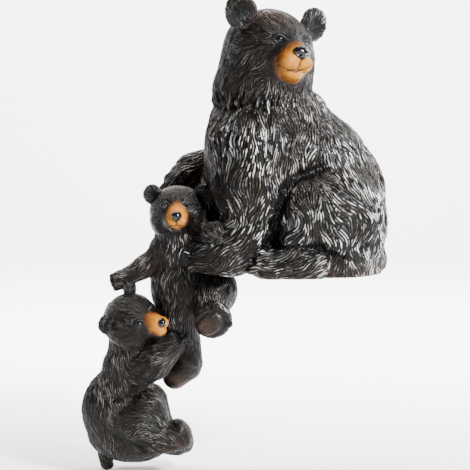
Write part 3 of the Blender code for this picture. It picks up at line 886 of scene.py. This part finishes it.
# %% [markdown]
# ## Eyes and noses
#
# They are part of the casting, but have a coat of thick gloss black. A piece for each gives the paint a
# crisp edge. An eye is a ball set deep in its socket, so the lids cover its rim. A nose is a ball too,
# widened at the top, narrowed below and dented twice for the nostrils.

# %% Eyes
def make_eyes(name, eyes, head):
    size = head.radius * STEP
    radius = 1.05 * head.eye * size
    clay = bmesh.new()
    for eye, out in eyes:
        place = Matrix.Translation((eye - out * 0.35 * head.eye * size).tolist())
        bmesh.ops.create_uvsphere(clay, u_segments=40, v_segments=24, radius=radius, matrix=place)
    return new_piece(name, clay)


# %% Noses
def make_nose(name, head):
    half_width, half_height = head.nose
    clay = bmesh.new()
    bmesh.ops.create_icosphere(clay, subdivisions=4, radius=1.0)
    for vert in clay.verts:
        right, ahead, above = vert.co
        width = half_width * (1 + 0.10 * above - 0.25 * max(0.0, -above) ** 1.5)
        thick = half_height * (1 - 0.10 * abs(right))
        spot = np.array((right * width, ahead * thick, above * half_height))
        if ahead > 0:
            for side in (1, -1):
                off = math.hypot(right - 0.52 * side, (above + 0.22) * 1.25)
                spot[1] -= 0.40 * half_height * math.exp(-((off / 0.24) ** 2))
            low = min(1.0, max(0.0, 0.3 - above))
            spot[1] -= 0.14 * half_height * math.exp(-((right / 0.10) ** 2)) * low
        vert.co = head.at(spot[0], 1.24 * head.muzzle + spot[1], 0.03 + spot[2]) * STEP
    bmesh.ops.recalc_face_normals(clay, faces=clay.faces)
    return new_piece(name, clay)


glossy = []
for name, (piece, eyes, head) in figures.items():
    if head:
        glossy.append(make_eyes(name.replace("head", "eyes"), eyes, head))
        glossy.append(make_nose(name.replace("head", "nose"), head))
print("gloss pieces:", [piece.name for piece in glossy])

# %% [markdown]
# ## Shader helpers
#
# `node` makes a node and feeds each input either a value or a link. Everything below is built with it.

# %% Shader helpers
def feed(tree, made, inputs):
    """Gives each input of a node a value or a link."""
    for key, value in inputs.items():
        if isinstance(value, bpy.types.NodeSocket):
            tree.links.new(value, made.inputs[key])
        else:
            made.inputs[key].default_value = value


def node(tree, kind, inputs, **settings):
    made = tree.nodes.new(kind)
    for key, value in settings.items():
        setattr(made, key, value)
    feed(tree, made, inputs)
    return made


def maths(tree, operation, a, b=0.0, clamp=False):
    return node(tree, "ShaderNodeMath", {0: a, 1: b}, operation=operation, use_clamp=clamp).outputs[0]


def times(tree, a, b, clamp=False):
    return maths(tree, "MULTIPLY", a, b, clamp)


def plus(tree, a, b):
    return maths(tree, "ADD", a, b)


def ramped(tree, value, low, high):
    """0 below low, 1 above high, and a smooth slope between them."""
    limits = {"Value": value, "From Min": low, "From Max": high}
    made = node(tree, "ShaderNodeMapRange", limits, interpolation_type="SMOOTHSTEP")
    return made.outputs["Result"]


def mixed(tree, share, a, b):
    colors = {"Factor": share, "A": a, "B": b}
    return node(tree, "ShaderNodeMix", colors, data_type="RGBA").outputs["Result"]


def mask(tree, name):
    return node(tree, "ShaderNodeAttribute", {}, attribute_name=name).outputs["Fac"]


def speckle(tree, scale, detail=3.0):
    coords = node(tree, "ShaderNodeTexCoord", {}).outputs["Object"]
    look = {"Vector": coords, "Scale": scale, "Detail": detail}
    return node(tree, "ShaderNodeTexNoise", look).outputs["Fac"]


def new_group(name, inputs, outputs):
    group = bpy.data.node_groups.new(name, "ShaderNodeTree")
    for title, value in inputs.items():
        kind = "NodeSocketColor" if isinstance(value, tuple) else "NodeSocketFloat"
        socket = group.interface.new_socket(title, in_out="INPUT", socket_type=kind)
        socket.default_value = value
    for title, kind in outputs.items():
        group.interface.new_socket(title, in_out="OUTPUT", socket_type=kind)
    return group, group.nodes.new("NodeGroupInput").outputs, group.nodes.new("NodeGroupOutput").inputs


def new_material(name):
    material = bpy.data.materials.new(name)
    material.use_nodes = True
    return material, material.node_tree, material.node_tree.nodes["Principled BSDF"]


# %% [markdown]
# ## The painted fur, as a node group
#
# Real resin animals get their depth from a thin dark wash in the grooves, and a nearly dry brush of grey
# over the tips. Both need to know how high a point stands in the fur. The `strand` attribute counts
# strands across the fur, so its cosine is a ridge for every strand, sharp at any distance, and the
# `locks` attribute adds the larger tufts. The grey tips here are also painted highlights, the wash colour
# darkens deep creases as painted shade, and the silvered crests get a faint blue-grey painted sheen.

# %% The fur paint group
fur_paint, given, result = new_group(
    "fur_paint",
    {
        # The wash colour, in the strand grooves, and as painted shade in deep creases.
        "Wash and shade color": (0.0015, 0.0012, 0.0010, 1),
        "Coat color": (0.0165, 0.0115, 0.0072, 1),
        # The tip colour is the dry-brushed silver and a painted highlight at once.
        "Tip silver and highlight color": (0.96, 0.95, 0.93, 1),
        "Warm color": (0.060, 0.019, 0.005, 1),
        # A blue-grey painted sheen over the silvered crests.
        "Painted sheen color": (0.075, 0.080, 0.088, 1),
        "Silver and highlight": 0.3,
        "Patch size": 40.0,
    },
    {"Color": "NodeSocketColor", "Height": "NodeSocketFloat"},
)
tree = fur_paint
fur, locks, crease, silver_and_highlight = [mask(tree, name) for name in ("fur", "locks", "crease", "silver_and_highlight")]
wave = maths(tree, "COSINE", times(tree, mask(tree, "strand"), math.pi))
ridge = maths(tree, "POWER", maths(tree, "ABSOLUTE", wave), 0.9)
broken = plus(tree, times(tree, ramped(tree, mask(tree, "shine"), 0.2, 0.7), 0.75), 0.25)
height = times(tree, times(tree, ridge, broken), fur)
skin = ramped(tree, fur, 0.5, 0.0)
pores = speckle(tree, 700.0, 5.0)
patches = speckle(tree, given["Patch size"])
crest = ramped(tree, crease, 0.7, -0.4)
amount = plus(tree, given["Silver and highlight"], silver_and_highlight)
amount = times(tree, amount, ramped(tree, patches, 0.34, 0.66))
amount = times(tree, amount, crest)
tufts = plus(tree, times(tree, ramped(tree, locks, 0.2, 0.9), 0.82), 0.18)
# The tips: silver from the dry brush, which also stands in as painted highlight.
tips = times(tree, ramped(tree, height, 0.60, 0.95), tufts)
tips = times(tree, tips, amount, clamp=True)
rubbed = times(tree, skin, times(tree, ramped(tree, pores, 0.50, 0.72), 0.035))
tips = maths(tree, "MAXIMUM", tips, times(tree, rubbed, crest))
body = times(tree, ramped(tree, height, 0.15, 0.80), ramped(tree, locks, 0.0, 0.7))
body = maths(tree, "MAXIMUM", body, times(tree, skin, 0.3))
coat = mixed(tree, body, given["Wash and shade color"], given["Coat color"])
# Painted shade: deep creases between the masses turn to the wash colour.
coat = mixed(tree, ramped(tree, crease, 0.3, 1.3), coat, given["Wash and shade color"])
warm = times(tree, mask(tree, "warm"), ramped(tree, patches, 0.2, 0.6))
bare_or_high = maths(tree, "MAXIMUM", ramped(tree, height, 0.10, 0.9), ramped(tree, fur, 0.6, 0.1))
coat = mixed(tree, times(tree, warm, bare_or_high, clamp=True), coat, given["Warm color"])
# Painted sheen: a faint blue-grey on the crests of the silvered fur.
painted_sheen = times(tree, silver_and_highlight, times(tree, crest, body))
coat = mixed(tree, times(tree, painted_sheen, 0.15, clamp=True), coat, given["Painted sheen color"])
tree.links.new(mixed(tree, tips, coat, given["Tip silver and highlight color"]), result["Color"])
relief = plus(tree, height, times(tree, skin, times(tree, pores, 0.5)))
tree.links.new(relief, result["Height"])
print("group", fur_paint.name, "has", len(fur_paint.nodes), "nodes")

# %% [markdown]
# ## The resin materials
#
# One function makes the resin of every piece, with more or less silver and painted highlight on the tips.
# On the heads the tan muzzle is brushed over the black, darker towards its edge and in the line of the
# lips.
# Fine grain in the cast breaks up the highlights of the satin lacquer.

# %% The resin materials
TAN_LIGHT = (0.38, 0.145, 0.009, 1)
TAN_DARK = (0.12, 0.034, 0.003, 1)
LIP_LINE = (0.020, 0.006, 0.002, 1)
EYE_RIM = (0.004, 0.004, 0.005, 1)
SMOOTHEST, ROUGHEST = 0.28, 0.46
GRAIN_SCALE, GRAIN_DEPTH = 1400.0, 0.0002


def face_paint(tree, color):
    """Over the fur: the tan muzzle, the dark eye rims and ear cups, and the line of the lips."""
    freckles = speckle(tree, 900.0, 5.0)
    clouds = speckle(tree, 160.0)
    ragged = times(tree, maths(tree, "SUBTRACT", freckles, 0.5), 0.25)
    tan = plus(tree, mask(tree, "tan"), ragged)
    tone = plus(tree, ramped(tree, tan, 0.02, 0.34), times(tree, clouds, 0.6))
    tan_color = mixed(tree, maths(tree, "SUBTRACT", tone, 0.38, clamp=True), TAN_DARK, TAN_LIGHT)
    tan_color = mixed(tree, ramped(tree, freckles, 0.68, 0.74), tan_color, TAN_DARK)
    color = mixed(tree, ramped(tree, mask(tree, "orbit"), 0.15, 0.7), color, EYE_RIM)
    color = mixed(tree, times(tree, mask(tree, "cup"), 0.8), color, EYE_RIM)
    color = mixed(tree, ramped(tree, tan, -0.04, 0.14), color, tan_color)
    return mixed(tree, ramped(tree, mask(tree, "line"), 0.30, 0.95), color, LIP_LINE), tan


def resin(name, silver_and_highlight, patch_size, strand_depth, face=False):
    material, tree, shader = new_material(name)
    paint = {"Silver and highlight": silver_and_highlight, "Patch size": patch_size}
    paint = node(tree, "ShaderNodeGroup", paint, node_tree=fur_paint).outputs
    color = paint["Color"]
    grain = speckle(tree, GRAIN_SCALE)
    polish = {"Value": grain, "To Min": SMOOTHEST, "To Max": ROUGHEST}
    rough = node(tree, "ShaderNodeMapRange", polish).outputs["Result"]
    if face:
        color, tan = face_paint(tree, color)
        rough = plus(tree, rough, times(tree, ramped(tree, tan, -0.05, 0.1), 0.10))
    combed = {"Height": paint["Height"], "Strength": 0.9, "Distance": strand_depth}
    combed = node(tree, "ShaderNodeBump", combed).outputs["Normal"]
    fine = {"Height": grain, "Strength": 0.2, "Distance": GRAIN_DEPTH, "Normal": combed}
    fine = node(tree, "ShaderNodeBump", fine).outputs["Normal"]
    feed(tree, shader, {"Base Color": color, "Roughness": rough, "Normal": fine})
    feed(tree, shader, {"Specular IOR Level": 0.20, "Coat Weight": 0.04, "Coat Roughness": 0.2})
    return material


coats = {
    "mother_body": resin("resin_mother_body", 0.60, 40.0, 1.1 * STEP),
    "mother_head": resin("resin_mother_head", 0.12, 50.0, 0.9 * STEP, face=True),
    "upper_cub_body": resin("resin_upper_cub_body", 0.18, 70.0, 0.8 * STEP),
    "upper_cub_head": resin("resin_upper_cub_head", 0.08, 70.0, 0.6 * STEP, face=True),
    "lower_cub_body": resin("resin_lower_cub_body", 0.10, 70.0, 0.8 * STEP),
    "lower_cub_head": resin("resin_lower_cub_head", 0.08, 70.0, 0.6 * STEP, face=True),
}

# %% [markdown]
# ## Gloss black paint
#
# Eyes and noses got a drop of clear gloss over black: the shader's own coat, over a rougher base. A faint
# noise in the base keeps it from looking like glass beads.

# %% Gloss black paint
gloss, tree, shader = new_material("gloss_black_paint")
black = mixed(tree, speckle(tree, 600.0), (0.0015, 0.0015, 0.002, 1), (0.004, 0.0035, 0.0035, 1))
feed(tree, shader, {"Base Color": black, "Roughness": 0.3, "Specular IOR Level": 0.1})
feed(tree, shader, {"Coat Weight": 0.8, "Coat Roughness": 0.04})

# %% [markdown]
# ## Putting it on the frame
#
# Every piece rides on the frame's only body. The figures together stand for the one imported solid, which
# stays hidden for the motion engine. The eyes and noses get the gloss black paint.

# %% On the frame
for name, (piece, eyes, head) in figures.items():
    piece.data.materials.clear()
    piece.data.materials.append(coats[name])
    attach(piece, "root")
    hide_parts("bear_family")
for piece in glossy:
    piece.data.materials.append(gloss)
    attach(piece, "root")
print(len(figures), "furred pieces and", len(glossy), "gloss pieces on the frame")

# %% [markdown]
# ## Floor and light
#
# A pale sheet runs back under the casting and curves up behind it, so there is no horizon. The strip is
# one edge, extruded back, spun up through a quarter turn and extruded again.

# %% Floor
def only(kind, items):
    return [item for item in items if isinstance(item, kind)]


FLOOR_Z = solid_low[2] - 0.0005
BEND_RADIUS = 0.5
FRONT, LENGTH, HALF_WIDTH, WALL_HEIGHT = -2.5, 4.0, 3, 2.0
VERT, EDGE = bmesh.types.BMVert, bmesh.types.BMEdge
paper = bmesh.new()
edge = paper.edges.new([paper.verts.new((x, FRONT, FLOOR_Z)) for x in (-HALF_WIDTH, HALF_WIDTH)])
moved = bmesh.ops.extrude_edge_only(paper, edges=[edge])["geom"]
bmesh.ops.translate(paper, verts=only(VERT, moved), vec=(0, LENGTH, 0))
middle = (0, FRONT + LENGTH, FLOOR_Z + BEND_RADIUS)
bent = bmesh.ops.spin(
    paper, geom=only(EDGE, moved), cent=middle, axis=(1, 0, 0), angle=math.pi / 2, steps=24
)["geom_last"]
wall = bmesh.ops.extrude_edge_only(paper, edges=only(EDGE, bent))["geom"]
bmesh.ops.translate(paper, verts=only(VERT, wall), vec=(0, 0, WALL_HEIGHT))
floor = new_piece("paper_floor", paper)
pale, tree, shader = new_material("pale_paper")
feed(tree, shader, {"Base Color": (0.90, 0.90, 0.90, 1), "Roughness": 0.9})
floor.data.materials.append(pale)
print("floor at", round(FLOOR_Z * 1000, 1), "mm")

# %% [markdown]
# Four soft boxes: a key from the upper right, which also makes the highlights in the eyes, a weak fill
# from the left, a rim light behind that lifts the edges of the dark resin off the paper, and a wide one
# that lights the paper alone.

# %% Lights
def soft_box(name, place, size, power, aim=TARGET):
    light = bpy.data.lights.new(name, "AREA")
    light.shape = "RECTANGLE"
    light.size, light.size_y = size
    light.energy = power
    box = bpy.data.objects.new(name, light)
    box.location = place
    box.rotation_euler = (Vector(aim) - Vector(place)).to_track_quat("-Z", "Y").to_euler()
    bpy.context.scene.collection.objects.link(box)


soft_box("key", (0.75, -0.85, 0.80), (0.30, 0.30), 72)
soft_box("fill", (-1.1, -1.0, 0.35), (0.5, 0.9), 2.5)
soft_box("rim", (0.9, 0.5, 0.6), (0.5, 0.5), 8)
soft_box("paper_light", (0, 0.35, 0.9), (2.0, 0.5), 190, aim=(0, 1.6, 0.2))

world = bpy.data.worlds.new("soft_room")
world.use_nodes = True
feed(world.node_tree, world.node_tree.nodes["Background"], {"Color": (1, 1, 1, 1), "Strength": 0.07})
bpy.context.scene.world = world
print("lights:", [light.name for light in bpy.data.lights])
